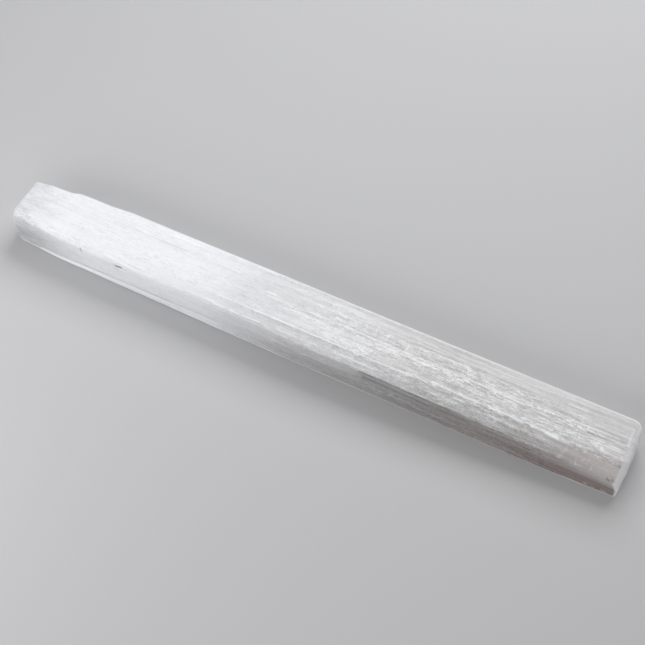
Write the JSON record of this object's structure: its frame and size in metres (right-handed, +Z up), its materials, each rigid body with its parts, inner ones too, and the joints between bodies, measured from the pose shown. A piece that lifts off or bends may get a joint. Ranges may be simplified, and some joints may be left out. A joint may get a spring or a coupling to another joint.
{
  "type": "selenite crystal blade",
  "caption": "Long raw blade of fibrous, milky white selenite, blunt at both ends, lying on its flat underside.",
  "frame": {"origin": "middle of the underside of the blade's bounding box", "axes": "+X along the fibres towards the squarer end, -Y towards the front with the low ledge, +Z up"},
  "size_m": [0.25, 0.025, 0.0157],
  "materials": {
    "selenite": "translucent milky white with a silky sheen and fine fibres along its length"
  },
  "bodies": {
    "root": {"selenite_blade": "selenite"}
  },
  "joints": []
}
